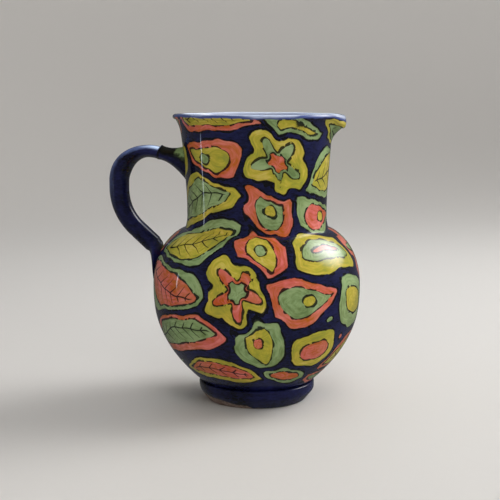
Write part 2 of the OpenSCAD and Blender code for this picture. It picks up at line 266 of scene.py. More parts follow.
# Rows of motifs, from the foot to the rim: distance up the wall, turn of the first one in
# degrees, and each motif's kind, length, width, tilt in degrees, bend, and colours from its edge
# inwards (Y yellow, C coral, G green)
DESIGN = (
    (14, 8, (
        ("leaf", 50, 17, 4, 0.1, "YG"), ("pebble", 26, 13, -4, 0, "CY"),
        ("leaf", 52, 17, 184, 0.15, "CY"), ("drop", 36, 15, 5, 0.2, "GY"),
        ("leaf", 50, 17, -4, -0.15, "YC"), ("pebble", 28, 13, 3, 0, "GC"),
        ("bean", 42, 15, 3, -0.3, "CG"))),
    (43, 25, (
        ("rosette", 37, 37, 10, 0, "CYG"), ("leaf", 64, 26, -14, 0.25, "GY"),
        ("drop", 42, 25, 168, 0.2, "YC"), ("rosette", 33, 33, 40, 0, "YCG"),
        ("leaf", 66, 27, 12, -0.25, "CG"), ("bud", 42, 32, 100, 0, "GYC"),
        ("pebble", 31, 22, 12, 0, "YC"), ("leaf", 62, 26, 195, 0.2, "CY"))),
    (77, -4, (
        ("leaf", 76, 33, 14, -0.22, "YG"), ("rosette", 45, 45, 0, 0, "CYG"),
        ("bean", 54, 27, -12, 0.35, "GCY"), ("bud", 47, 38, 70, 0, "YCG"),
        ("leaf", 72, 32, -14, 0.22, "GC"), ("rosette", 41, 41, -10, 0, "YCG"),
        ("drop", 52, 31, 12, 0.2, "CGY"), ("pebble", 35, 28, -10, 0, "GY"))),
    (110, 20, (
        ("drop", 50, 28, -12, -0.2, "CYG"), ("leaf", 68, 30, 190, 0.22, "YC"),
        ("rosette", 40, 40, -10, 0, "GYC"), ("pebble", 31, 24, 12, 0, "CY"),
        ("leaf", 64, 30, 12, 0.25, "GY"), ("bud", 43, 33, 110, 0, "CYG"),
        ("bean", 50, 26, 10, -0.3, "YGC"), ("rosette", 36, 36, 30, 0, "CGY"))),
    (141, 4, (
        ("leaf", 64, 29, 14, -0.2, "CY"), ("rosette", 39, 39, 8, 0, "YCG"),
        ("bean", 47, 26, -12, 0.35, "GYC"), ("leaf", 60, 28, 192, 0.25, "YG"),
        ("bud", 42, 33, 80, 0, "CGY"), ("drop", 46, 27, 10, 0.2, "GCY"))),
    (171, 32, (
        ("rosette", 37, 37, 30, 0, "GCY"), ("leaf", 62, 27, -14, 0.25, "CG"),
        ("pebble", 32, 23, 10, 0, "YG"), ("drop", 47, 27, 170, -0.2, "CYG"),
        ("rosette", 38, 38, -16, 0, "YGC"), ("leaf", 60, 27, 13, -0.2, "GY"))),
    (198, -27, (
        ("leaf", 56, 20, 5, 0.15, "YG"), ("bean", 41, 17, -4, 0.2, "YCG"),
        ("leaf", 58, 20, 184, 0.2, "GC"), ("pebble", 29, 16, 4, 0, "CG"),
        ("leaf", 56, 20, -5, -0.15, "CY"), ("drop", 42, 18, 4, 0.15, "GYC"))),
)
TONES = {"Y": (0, 0, 0), "C": (1, 0, 0), "G": (0, 1, 0)}
# Layers of each kind of motif, from the outside in: outline, and its share of length and width
LAYERS = {
    "leaf": (("leaf", 1, 1), ("leaf", 0.78, 0.6)),
    "drop": (("drop", 1, 1), ("drop", 0.62, 0.52), ("pebble", 0.13, 0.16)),
    "bean": (("bean", 1, 1), ("bean", 0.72, 0.42), ("bean", 0.4, 0.1)),
    "pebble": (("pebble", 1, 1), ("pebble", 0.56, 0.46)),
    "rosette": (("rosette", 1, 1), ("star", 0.72, 0.72), ("pebble", 0.24, 0.24)),
    "bud": (("bud", 1, 1), ("leaf", 0.62, 0.4), ("pebble", 0.14, 0.14)),
}
# Least colour left showing outside the middle and the inner layer
LAYER_MARGINS = (3.0, 1.9)
OUTLINE_POINTS = 96
# Rounding of a motif's corners where it meets its neighbours
CORNER = 5.0
# Growth of every motif in length and width, until it meets its neighbours
GROWTH = (1.2, 1.38)
# The rows rise and fall on their way round
ROW_WAVES = ((7.0, 1, 0.6), (3.0, 2, 2.0))
# Spread of a motif's place along its row and up the wall, and of its tilt in degrees
SPREAD_ALONG, SPREAD_UP, SPREAD_TILT = 1.5, 2.0, 4
# Dots: places tried, least distance from a motif's edge, least distance apart, and sizes
DOT_TRIES, DOT_CLEAR, DOT_APART, DOT_SIZES = 5000, 5.4, 17, (4.6, 6.6)
# How far beyond its own half length a motif's distances are worked out
REACH = 16
# Ground left bare above the foot
FOOT_GROUND = 3.5
# Petals of a rosette and of a star: five to a turn, so that many half waves
PETAL_WAVES = 2.5


def wall_line():
    """Heights, radii and distances up the wall, along the outside from foot joint to bead."""
    z = np.concatenate([np.linspace(FOOT_H, NECK_Z, 2000), np.linspace(NECK_Z, JUG_H - BEAD_H, 1500)])
    r = np.concatenate([belly_radius(z[:2000]), neck_radius(z[2000:])])
    up = np.concatenate([[0], np.cumsum(np.hypot(np.diff(z), np.diff(r)))])
    return z, r, up


def bent(x, y, length, bend):
    """A motif's points moved aside so that its length follows a parabola."""
    return x, y + bend * length * ((2 * x / length) ** 2 - 0.35) * 0.5


def motif_outline(kind, length, width, whole, bend, draw):
    """Closed outline of one layer of a motif about its centre, bent and a little uneven.

    With t once round: a leaf is an oval whose sides meet in points, a drop has one such point, a
    pebble is a full oval, a bean a bent one, a rosette has five round petals, a star five slim
    ones, and a bud has three points at one end.
    """
    t = turns(OUTLINE_POINTS)
    c, s = np.cos(t), np.sin(t)
    swell, uneven_share = 1.0, 0.05
    x, y = c, s
    if kind == "leaf":
        y = s * np.abs(s) ** 0.9
    elif kind == "drop":
        y = s * ((1 - c) / 2) ** 0.8 * 1.25
    elif kind == "pebble":
        x, y = signed_power(c, 0.82), signed_power(s, 0.82)
    elif kind == "rosette":
        swell, uneven_share = 0.7 + 0.36 * np.abs(np.cos(PETAL_WAVES * t)) ** 0.7, 0.02
    elif kind == "star":
        swell, uneven_share = 0.34 + 0.6 * np.abs(np.cos(PETAL_WAVES * t)) ** 3, 0.02
    elif kind == "bud":
        swell, uneven_share = 0.84 + 0.2 * np.sqrt(np.maximum(c, 0)) * np.cos(6 * t), 0.02
    size = swell * (1 + sum(draw.normal(0, uneven_share / k) * np.cos(k * t + draw.uniform(0, 6.3))
                            for k in (2, 3, 4, 6)))
    return bent(x * size * length / 2, y * size * width / 2, whole, bend)


def smooth_max(a, b, reach):
    """Larger of two values, eased over a reach where they are close."""
    close = np.maximum(reach - np.abs(a - b), 0) / reach
    return np.maximum(a, b) + close ** 2 * reach / 4


def outline_distance(px, py, x, y):
    """Signed distance of points from a closed outline, in its own plane, negative inside."""
    ax, ay = x[None, :], y[None, :]
    bx, by = np.roll(x, -1)[None, :], np.roll(y, -1)[None, :]
    ex, ey = bx - ax, by - ay
    dx, dy = px[:, None] - ax, py[:, None] - ay
    t = np.clip((dx * ex + dy * ey) / np.maximum(ex * ex + ey * ey, 1e-9), 0, 1)
    near = np.sqrt(((dx - ex * t) ** 2 + (dy - ey * t) ** 2).min(axis=1))
    crosses = ((ay > py[:, None]) != (by > py[:, None])) & (
        dx < ex * dy / np.where(ey == 0, 1e-9, ey))
    return np.where(crosses.sum(axis=1) % 2 == 1, -near, near)


class Layout:
    """Places and outlines of all the motifs, and the distances of points from them."""

    def __init__(self, seed, gap):
        self.gap = gap
        self.motifs = []
        draw = np.random.default_rng(seed)
        _, radii, ups = wall_line()
        for up, first, row in DESIGN:
            r = float(np.interp(up, ups, radii))
            room = 2 * np.pi * r / sum(motif[1] for motif in row)
            at = np.radians(first)
            for kind, length, width, tilt, bend, colours in row:
                half = length * room / 2 / r
                at += half
                place = (at + draw.normal(0, SPREAD_ALONG) / r, up + draw.normal(0, SPREAD_UP))
                self.add(place, kind, length * room * GROWTH[0], width * GROWTH[1],
                         tilt + draw.normal(0, SPREAD_TILT), bend, colours, draw)
                at += half
        self.add_dots(draw, radii, ups)

    def add(self, place, kind, length, width, tilt, bend, colours, draw):
        """Keep a motif's place, tilt in radians, length, size, layers and colours, a leaf's bend."""
        layers = [motif_outline(shape, length * along, width * across, length, bend, draw)
                  for shape, along, across in LAYERS[kind][:len(colours)]]
        self.motifs.append((place, math.radians(tilt), length, max(length, width), layers, colours,
                            bend if kind == "leaf" else None))

    def add_dots(self, draw, radii, ups):
        """Small dots where the ground is widest: of many drawn places, those clear of all else."""
        turn = draw.uniform(0, 2 * np.pi, DOT_TRIES)
        up = draw.uniform(8, ups[-1] - 8, DOT_TRIES)
        clear = self.fields(turn, up, np.interp(up, ups, radii), waves=False)["edge_outer"]
        order = np.argsort(-clear)
        kept = []
        for n in order[clear[order] > DOT_CLEAR]:
            r = float(np.interp(up[n], ups, radii))
            apart = [math.hypot(math.remainder(turn[n] - t, 2 * math.pi) * r, up[n] - u)
                     for t, u in kept]
            if min(apart, default=FAR) > DOT_APART:
                kept.append((turn[n], up[n]))
        for n, place in enumerate(kept):
            size = draw.uniform(*DOT_SIZES)
            self.add(place, "pebble", size * draw.uniform(1, 1.6), size, draw.uniform(0, 180), 0,
                     "GCY"[n % 3], draw)

    def fields(self, turn, up, r, waves=True):
        """Distances from the layers' edges, their colours, and coordinates for strokes and veins.

        Each point belongs to its nearest motif. Two neighbours draw back from the line between
        them by half the gap, and each inner layer stays inside the one around it. The rows rise
        and fall in long waves.
        """
        _, radii, ups = wall_line()
        count = len(turn)
        best, second = np.full((2, count), FAR)
        inner = np.full((count, 2), FAR)
        tones = np.zeros((count, 3, 3))
        stroke, leaf = np.zeros((2, count, 3))
        level = up
        if waves:
            level = up + waved(turn, ROW_WAVES)
        sway_x = 0.6 * np.sin(up / 5.3 + 3 * np.sin(2 * turn)) + 0.3 * np.sin(turn * 23 + up / 3.1)
        sway_y = 0.6 * np.sin(turn * 11 + up / 9) + 0.3 * np.sin(turn * 29 - up / 4.3)
        for number, (place, tilt, length, size, layers, colours, bend) in enumerate(self.motifs):
            at_r = float(np.interp(place[1], ups, radii))
            across = np.arctan2(np.sin(turn - place[0]), np.cos(turn - place[0])) * (r + at_r) / 2
            rise = level - place[1]
            near = np.flatnonzero(across ** 2 + rise ** 2 < (size / 2 + REACH) ** 2)
            x, y = across[near] + sway_x[near], rise[near] + sway_y[near]
            u = x * math.cos(tilt) + y * math.sin(tilt)
            v = y * math.cos(tilt) - x * math.sin(tilt)
            d = np.clip(outline_distance(u, v, *layers[0]), -FAR, FAR)
            mine = d < best[near]
            second[near] = np.where(mine, best[near], np.minimum(second[near], d))
            best[near] = np.where(mine, d, best[near])
            won, u, v = near[mine], u[mine], v[mine]
            inner[won] = FAR
            for k, layer in enumerate(layers[1:]):
                inner[won, k] = outline_distance(u, v, *layer)
            if bend is not None:
                leaf[won] = np.stack([u, v - bent(u, 0 * u, length, bend)[1], 0 * u + 1], axis=-1)
            else:
                leaf[won] = 0
            for k, colour in enumerate((colours + colours[-1])[:3]):
                tones[won, k] = TONES[colour]
            reach = np.hypot(u, v * 1.6) + 1
            stroke[won, 0] = size * 0.075 * u / reach + number * 3.7
            stroke[won, 1] = size * 0.075 * v / reach
        outer = smooth_max(best, self.gap / 2 - (second - best) / 2, CORNER)
        outer = np.maximum(outer, FOOT_GROUND - up)
        middle = np.maximum(inner[:, 0], outer + LAYER_MARGINS[0])
        inmost = np.maximum(inner[:, 1], middle + LAYER_MARGINS[1])
        stroke[:, 2] = outer
        return {"edge_outer": outer, "edge_middle": np.minimum(middle, FAR),
                "edge_inner": np.minimum(inmost, FAR), "tone_outer": tones[:, 0],
                "tone_middle": tones[:, 1], "tone_inner": tones[:, 2], "stroke": stroke,
                "leaf": leaf}


def painted(look, sections, painted_rows, start):
    """Attributes of the painted rows of a turned piece. Its other rows are plain ground.

    start is how far up the wall the first painted row lies.
    """
    r = sections[painted_rows, :, 0]
    up = start + section_run(sections[painted_rows])
    turn = np.broadcast_to(turns(), r.shape)
    marks = Layout(look.seed, look.gap).fields(turn.ravel(), up.ravel(), r.ravel())
    for key, values in marks.items():
        blank = FAR if key.startswith("edge") else 0.0
        marks[key] = np.full(sections.shape[:2] + values.shape[1:], blank)
        marks[key][painted_rows] = values.reshape(r.shape + values.shape[1:])
    return marks


# Pieces

def belly_inside(s):
    """Inside of the belly over shares of its height: a power curve above its widest level, then
    another below it down to the floor."""
    high = INNER_R + (BELLY_R - WALL - INNER_R) * (1 - (1 - s) ** TOP_POWER) ** TOP_FALL
    low = FLOOR_R + (BELLY_R - WALL - FLOOR_R) * (1 - s[1:] ** LOW_POWER)
    return (around(high, INNER_TOP - (INNER_TOP - WIDE_Z) * s),
            around(low, WIDE_Z + (FLOOR_Z - WIDE_Z) * s[1:]))


def belly_sections():
    """Closed section of the belly at each turn: under the floor, up the outside, down the inside."""
    z = np.concatenate([
        WIDE_Z - BELLY_LOW_H * (1 - steps(BELLY_ROWS // 2 + 10)),
        (WIDE_Z + BELLY_TOP_H * steps(BELLY_ROWS // 2 - 10, tight_end=True))[1:]])
    under = around([FOOT_IN_R * 0.5, FOOT_IN_R, FOOT_IN_R], [RECESS_D, RECESS_D, FOOT_H])
    lip = around(JOINT_R - WALL, [NECK_Z, INNER_TOP + SHOULDER_ROUND])
    sections = np.concatenate([under, around(belly_radius(z), z), lip,
                               *belly_inside(steps(14, tight_start=True))])
    rows = slice(len(under), len(under) + len(z))
    sections[rows, :, 0] += uneven(turns()[None, :], sections[rows, :, 1])
    return sections, rows


def lip_share():
    """How far each turn's section is drawn out to the pouring lip: 0 on the neck, 1 at the nose."""
    turn = np.degrees(np.arctan2(np.sin(turns()), np.cos(turns())))
    inside = np.abs(turn) < LIP_ANGLE / 2
    return np.where(inside, np.cos(np.radians(np.clip(180 * turn / LIP_ANGLE, -90, 90))), 0) ** LIP_FADE


def lip_sizes(k):
    """Radius of the rim's middle, its half thickness and height, its top and its inner edge.

    k is how far the section is drawn out to the lip.
    """
    at = BEAD_AT + (NOSE_R - NOSE_T - BEAD_AT) * k
    half_t = BEAD_R + (NOSE_T - BEAD_R) * k
    half_h = BEAD_R + (NOSE_H / 2 - BEAD_R) * k
    top = JUG_H - NOSE_DROP * k
    edge_r = (1 - k) * (neck_radius(JUG_H) - WALL) + k * (NOSE_R - LIP_EDGE)
    return at, half_t, half_h, top, edge_r


def inner_neck(count, top_count):
    """Inside of the neck: from the rim down to the lip's foot, drawn out to the channel where the
    lip is, and plain on down to the joint."""
    k = lip_share()[None, :]
    s = 1 - steps(top_count)[:, None]
    foot_at = neck_radius(LIP_Z) - WALL
    rise = LIP_H - RIM_ROUND
    plain = neck_radius(LIP_Z + rise * s) - WALL
    drawn = foot_at + (NOSE_R - LIP_EDGE - foot_at) * s ** CHANNEL_POWER
    throat = np.stack([plain + (drawn - plain) * k, LIP_Z + (rise - NOSE_DROP * k) * s], axis=-1)
    z = LIP_Z + (NECK_Z - LIP_Z) * steps(count)[1:]
    return throat, around(neck_radius(z) - WALL, z)


def neck_sections():
    """Closed section of the neck at each turn: up the outside, over the bead, down the inside."""
    k = lip_share()[None, :]
    at, half_t, half_h, top, edge_r = lip_sizes(k)
    z = NECK_Z + (LIP_Z - NECK_Z) * steps(NECK_ROWS)
    outside = around(neck_radius(z), z)
    s = steps(34, tight_end=True)[1:, None]
    foot_at = neck_radius(LIP_Z)
    plain = neck_radius(LIP_Z + (LIP_H - BEAD_H) * s)
    drawn = foot_at + (NOSE_R - NOSE_T - foot_at) * s ** NOSE_POWER
    rise = LIP_H - NOSE_DROP * k - 2 * half_h
    flare = np.stack([plain + (drawn - plain) * k, LIP_Z + rise * s], axis=-1)
    a = np.radians(np.linspace(-90, 90, 17))[1:, None]
    square = 1 - (1 - SQUARE_POWER) * k
    bead = np.stack([at + half_t * np.abs(np.cos(a)) ** square,
                     top - half_h + half_h * signed_power(np.sin(a), square)], axis=-1)
    edge = np.stack(arc(edge_r + RIM_ROUND, top - RIM_ROUND, RIM_ROUND, 90, 180), axis=-1)
    throat, inside = inner_neck(8, 12)
    sections = np.concatenate([outside, flare, bead, edge, throat[1:], inside])
    under_bead = len(outside) + len(flare)
    rows = slice(0, under_bead + len(bead))
    turn = turns()[None, :]
    sections[rows, :, 0] += uneven(turn, sections[rows, :, 1])
    lift = np.clip((sections[..., 1] - LIP_Z) / LIP_H, 0, 1) ** 3
    sections[..., 1] += lift * (waved(turn, RIM_WAVES) - RIM_SINK)
    return sections, rows, under_bead


def section_run(sections):
    """Distance along each turn's section from its first row."""
    step = np.linalg.norm(np.diff(sections, axis=0), axis=2)
    return np.concatenate([np.zeros((1, sections.shape[1])), np.cumsum(step, axis=0)])


def white_edge(sections, under_bead, rows):
    """Distance along the section from the line on the bead's face where the white glaze starts."""
    run = section_run(sections)
    bead = run[rows.stop - 1] - run[under_bead - 1]
    return np.clip(run - run[under_bead - 1] - WHITE_SHARE * bead, -FAR, FAR)


def lining_line():
    """Section of the jug's inside at each turn, from the rim through the lip's channel, neck,
    shoulder and belly to the floor."""
    shoulder = around(*arc(INNER_R, INNER_TOP + SHOULDER_ROUND, SHOULDER_ROUND, 180, 270))
    high, low = belly_inside(steps(24, tight_start=True))
    floor = around(FLOOR_R * np.array([0.75, 0.5, 0.25]), FLOOR_Z)
    return np.concatenate([*inner_neck(20, 20), shoulder, high[1:], low, floor])


def offset_inwards(line, amount):
    """The same section moved square to itself by an amount, towards the inside of the jug."""
    along = np.gradient(line, axis=0)
    along /= np.maximum(np.linalg.norm(along, axis=2, keepdims=True), 1e-9)
    moved = line.copy()
    moved[..., 0] += along[..., 1] * amount
    moved[..., 1] -= along[..., 0] * amount
    return moved


def foot_sections():
    """Closed section of the foot ring at each turn, with an uneven edge over its bevel."""
    corners = [(FOOT_IN_R + FOOT_LEAN, 0), (FOOT_R - BEVEL_W, 0), (FOOT_R, BEVEL_H),
               (FOOT_R, FOOT_H), (SEAT_R - FOOT_LAP, FOOT_H), (FOOT_IN_R, FOOT_H),
               (FOOT_IN_R, RECESS_D)]
    sections = around(*rounded(corners, FOOT_ROUNDS).T)
    turn = turns()[None, :]
    wave = waved(turn, EDGE_WAVES) - EDGE_SINK
    near_edge = np.clip(1 - np.abs(sections[..., 1] - BEVEL_H) / EDGE_FADE, 0, 1)
    sections[..., 0] += np.where(sections[..., 0] > SEAT_R - 1, wave * near_edge, 0)
    return sections


def heading_way(heading):
    """Direction in the XZ plane of a heading in degrees."""
    h = np.radians(heading)
    return np.stack([np.cos(h), np.sin(h)], axis=-1)


def strap_axis():
    """Middle line of the strap from the seam to the tail: a straight, a bend, a fall, a wider bend
    and a straight that ends short of the belly.

    Gives its points, headings and shares of its turn, where it lands and its last heading.
    """
    first, last = 180 - STRAP_RISE, 270 + STRAP_SLOPE
    strap_z = NECK_Z + ROOT_H
    seam = np.array([-(float(neck_radius(strap_z)) + ROOT_L), strap_z])
    out = heading_way(first)
    top = seam + STRAP_START * out + TOP_BEND * heading_way(first + 90)
    low = top + np.array([LOW_BEND - TOP_BEND, -STRAP_FALL])
    start = steps(8)[:-1, None] * STRAP_START * out + seam
    h1 = np.linspace(first, 270, 64)
    bend_1 = top - TOP_BEND * heading_way(h1 + 90)
    fall = bend_1[-1] + np.array([0, -STRAP_FALL]) * steps(7)[1:-1, None]
    h2 = np.linspace(270, last, 36)
    bend_2 = low - LOW_BEND * heading_way(h2 + 90)
    way = heading_way(last)
    far = np.linspace(0, 60, 6001)[:, None] * way + bend_2[-1]
    surface = np.where(far[:, 1] > NECK_Z, JOINT_R, belly_radius(far[:, 1]))
    landing = far[np.argmax(-far[:, 0] < surface)]
    tail_start = landing - TAIL_NECK * way
    run = bend_2[-1] + (tail_start - bend_2[-1]) * steps(14)[1:, None]
    points = np.concatenate([start, bend_1, fall, bend_2, run])
    headings = np.concatenate([np.full(len(start), first), h1, np.full(len(fall), 270.0), h2,
                               np.full(len(run), last)])
    return points, headings, (headings - first) / (last - first), landing, last


def eased(share, ends=(0.0, 1.0)):
    """Smooth step of a share between two ends."""
    k = np.clip((share - ends[0]) / (ends[1] - ends[0]), 0, 1)
    return k * k * (3 - 2 * k)


def strap_half_t(share):
    """Half thickness of the strap: it thickens round the upper bend and thins a little below."""
    return (STRAP_T_TOP + (STRAP_T_SIDE - STRAP_T_TOP) * eased(share, THICKEN_SHARES)
            - (STRAP_T_SIDE - STRAP_T_END) * eased(share, THIN_SHARES)) / 2


def signed_power(value, power):
    """Power of a value's size, with its sign kept."""
    return np.sign(value) * np.abs(value) ** power


def oval_shares(count):
    """Points round a super-oval: shares of its half width and of its half thickness."""
    a = turns(count)
    return signed_power(np.cos(a), 2 / STRAP_POWER), signed_power(np.sin(a), 2 / STRAP_POWER)


def ovals(points, headings, half_w, half_t, count, fill=None):
    """Rings across a path in the XZ plane: super-ovals of a half width and a half thickness.

    fill makes each ring thicker by so much on its left side only.
    """
    across, thick = oval_shares(count)
    h = np.radians(headings)[:, None]
    t = thick[None, :] * half_t[:, None]
    if fill is not None:
        t += np.minimum(thick, 0)[None, :] * fill[:, None]
    return np.stack([points[:, :1] + t * np.sin(h), half_w[:, None] * across[None, :],
                     points[:, 1:] - t * np.cos(h)], axis=-1)


def root_rings(seam, count):
    """Rings of the handle's root, from inside the neck's wall to its edge at the seam.

    With s from 1 at the neck to 0 at the seam, its top is a straight with a sag, its underside
    and its sides are power curves, and it leans over to the strap's heading by a square.
    """
    seam_x, strap_z = seam
    inner_x = -(WAIST_R - WALL / 2)
    half_t = float(strap_half_t(0))
    top_0, top_1 = strap_z + half_t + ROOT_EDGE, strap_z + ROOT_PAD_H * PAD_RISE_SHARE
    low_0, low_1 = strap_z - half_t - ROOT_STEP, top_1 - ROOT_PAD_H
    s = steps(44)[::-1]
    x = seam_x + (inner_x - seam_x) * s
    sag = SAG_SHARE * STRAP_T_TOP * np.sin(np.pi * s ** 0.8)
    top = top_0 + (top_1 - top_0) * s - sag
    low = low_0 + (low_1 - low_0) * s ** PAD_POWER
    w = STRAP_W_TOP / 2 + ROOT_STEP + (ROOT_PAD_W - STRAP_W_TOP) / 2 * s ** SIDE_POWER
    middle = np.stack([x, (top + low) / 2], axis=-1)
    root = ovals(middle, 180 - STRAP_RISE * (1 - s) ** 2, w, (top - low) / 2, count)
    # Towards its inner end the root bends to the round of the neck, and ends within its wall
    in_wall = -np.sqrt((neck_radius(root[..., 2]) - WALL / 2) ** 2 - root[..., 1] ** 2)
    root[..., 0] += (in_wall - inner_x) * s[:, None] ** 4
    return root


def tail_rings(start, landing, last, count):
    """Rings of the handle's tail, from the strap's end down the belly.

    Its height is a parabola's, and it settles onto the belly by a square. It thins by a power
    curve, spreads by half a sine wave and ends blunt. Its side towards the neck is filled, so
    that it runs on to the belly before it turns down.
    """
    s = steps(40, tight_end=True)[1:]
    z = (1 - s) ** 2 * start[1] + 2 * s * (1 - s) * landing[1] + s ** 2 * (landing[1] - TAIL_RUN)
    lift = -start[0] - float(belly_radius(start[1]))
    x = -(belly_radius(z) + lift * (1 - s) ** 2)
    side = 270 + np.degrees(np.arctan((belly_radius(z) - belly_radius(z - TAIL_TIP)) / TAIL_TIP))
    t = TAIL_TIP + (float(strap_half_t(1)) - TAIL_TIP) * (1 - s) ** THIN_POWER
    w = STRAP_W_END / 2 - TAIL_TIP + TAIL_SPREAD * np.sin(np.pi * s)
    w = TAIL_TIP + w * np.sqrt(1 - s ** BLUNT_POWER)
    fill = TAIL_FILL * eased(s, (0, 0.3)) * (1 - eased(s, (0.4, 0.9)))
    return ovals(np.stack([x, z], axis=-1), last + (side - last) * eased(s), w, t, count, fill)


def handle_rings(count=72):
    """Rings of the whole handle, from inside the neck's wall over root, seam and strap to the tail.

    Also gives each ring's distance along the handle from the seam, negative on the root.
    """
    points, headings, share, landing, last = strap_axis()
    root = root_rings(points[0], count)
    strap = ovals(points, headings, (STRAP_W_TOP + (STRAP_W_END - STRAP_W_TOP) * share) / 2,
                  strap_half_t(share), count)
    # The root's edge is turned over onto the strap in three rings
    edge = root[-1]
    ahead = strap[1] - strap[0]
    rolled = np.stack([edge + ahead * 0.5, edge * 0.75 + strap[0] * 0.25 + ahead * 0.9,
                       edge * 0.3 + strap[0] * 0.7 + ahead * 1.05])
    rings = np.concatenate([root, rolled, strap[2:], tail_rings(points[-1], landing, last, count)])
    centre = rings.mean(axis=1)
    run = np.concatenate([[0], np.cumsum(np.linalg.norm(np.diff(centre, axis=0), axis=1))])
    return rings, run - run[len(root) - 1]


# Materials: scales of noise are per metre, and distances in attributes are in millimetres

IRON = (0.16, 0.12, 0.09, 1)
GLAZE_ROUGHNESS, BARE_ROUGHNESS = 0.42, 0.9


class Value:
    """Output of a node. Its sums, differences and products are Math nodes."""

    def __init__(self, tree, socket):
        self.tree = tree
        self.socket = socket

    def __add__(self, other):
        return calc("ADD", self, other)

    def __sub__(self, other):
        return calc("SUBTRACT", self, other)

    def __rsub__(self, other):
        return calc("SUBTRACT", other, self)

    def __mul__(self, other):
        return calc("MULTIPLY", self, other)

    def __abs__(self):
        return calc("ABSOLUTE", self)


def feed(value, socket):
    """Link a value to an input, or set the input where the value is a plain one."""
    if isinstance(value, Value):
        value.tree.links.new(value.socket, socket)
    else:
        socket.default_value = value


def put(tree, kind, inputs=None, output=0, **settings):
    """Add a node, set it up, feed its inputs, and give one of its outputs."""
    node = tree.nodes.new(kind)
    for key, value in settings.items():
        setattr(node, key, value)
    for key, value in (inputs or {}).items():
        feed(value, node.inputs[key])
    return Value(tree, node.outputs[output])


def calc(operation, *values):
    """Math node over up to three values."""
    tree = next(value.tree for value in values if isinstance(value, Value))
    return put(tree, "ShaderNodeMath", dict(enumerate(values)), operation=operation)


def span(value, low, high, to_low=0.0, to_high=1.0):
    """Map a value between two levels to a range, and hold it there."""
    return put(value.tree, "ShaderNodeMapRange", {"Value": value, "From Min": low, "From Max": high,
                                                  "To Min": to_low, "To Max": to_high})


def mixed(factor, a, b):
    """Mix two colours."""
    return put(factor.tree, "ShaderNodeMix", {0: factor, 6: a, 7: b}, 2, data_type="RGBA")


def noise(at, scale, detail=2.0, rough=0.5):
    """Noise over coordinates, from 0 to 1 and mostly near a half."""
    return put(at.tree, "ShaderNodeTexNoise", {"Vector": at, "Scale": scale, "Detail": detail,
                                               "Roughness": rough})


def object_coords(tree):
    """Coordinates on the object, in metres."""
    return put(tree, "ShaderNodeTexCoord", output="Object")


def stretched(at, scale):
    """Coordinates with a scale along each axis."""
    return put(at.tree, "ShaderNodeMapping", {"Vector": at, "Scale": scale})


def attribute(tree, name, output="Fac"):
    """Value or vector that a piece's mesh carries at its points."""
    return put(tree, "ShaderNodeAttribute", output=output, attribute_name=name)


def split(vector):
    """The three parts of a vector."""
    parts = put(vector.tree, "ShaderNodeSeparateXYZ", {0: vector}).socket.node.outputs
    return [Value(vector.tree, part) for part in parts]


def new_group(name, **kinds):
    """Empty node group that puts out a colour and a height, with its inputs in their order."""
    tree = bpy.data.node_groups.new(name, "ShaderNodeTree")
    for socket, kind in kinds.items():
        tree.interface.new_socket(socket, in_out="INPUT", socket_type="NodeSocket" + kind)
    tree.interface.new_socket("Color", in_out="OUTPUT", socket_type="NodeSocketColor")
    tree.interface.new_socket("Height", in_out="OUTPUT", socket_type="NodeSocketFloat")
    given = tree.nodes.new("NodeGroupInput").outputs
    return tree, [Value(tree, given[socket]) for socket in kinds]


def ended(colour, height):
    """The group that holds a colour and a height, which it puts out."""
    out = colour.tree.nodes.new("NodeGroupOutput").inputs
    feed(colour, out["Color"])
    feed(height, out["Height"])
    return colour.tree


def place(tree, name, **inputs):
    """Put a node group to use, built at its first use: its colour and its height."""
    group = bpy.data.node_groups.get(name) or GROUPS[name]()
    outputs = put(tree, "ShaderNodeGroup", inputs, node_tree=group).socket.node.outputs
    return Value(tree, outputs["Color"]), Value(tree, outputs["Height"])


def cobalt_group():
    """Cobalt ground: brushed on, deeper where it pooled and brighter where it is thin."""
    tree, (deep, bright) = new_group("Cobalt ground", Deep="Color", Bright="Color")
    at = object_coords(tree)
    brush = noise(stretched(at, (1, 1, 3.2)), 260, 3, 0.65)
    thin = noise(at, 30, 4, 0.6) * 0.75 + brush * 0.45
    colour = mixed(span(thin, 0.48, 0.84), deep, bright)
    specks = span(noise(at, 1600), 0.66, 0.75, 0, 0.5)
    return ended(mixed(specks, colour, deep), brush * 0.3)


def brushed_group():
    """Brushed glaze colour: streaks of more and less colour, and a thin tint of its neighbour."""
    tree, (own, tint, stroke, strength) = new_group(
        "Brushed colour", Color="Color", Tint="Color", Stroke="Vector", Strength="Float")
    at = object_coords(tree)
    load = (noise(stroke, 0.7, 2, 0.55) * 0.42 + noise(stroke, 2.2) * 0.13
            + noise(at, 62, 3, 0.55) * 0.5)
    colour = put(tree, "ShaderNodeHueSaturation", {
        "Hue": span(noise(at, 34), 0.36, 0.64, 0.493, 0.507),
        "Saturation": span(load, 0.42, 0.68, 1.1, 0.84),
        "Value": span(load, 0.4, 0.68, 0.86, 1.32),
        "Color": mixed(span(load, 0.58, 0.4) * strength, own, tint)})
    return ended(colour, load)


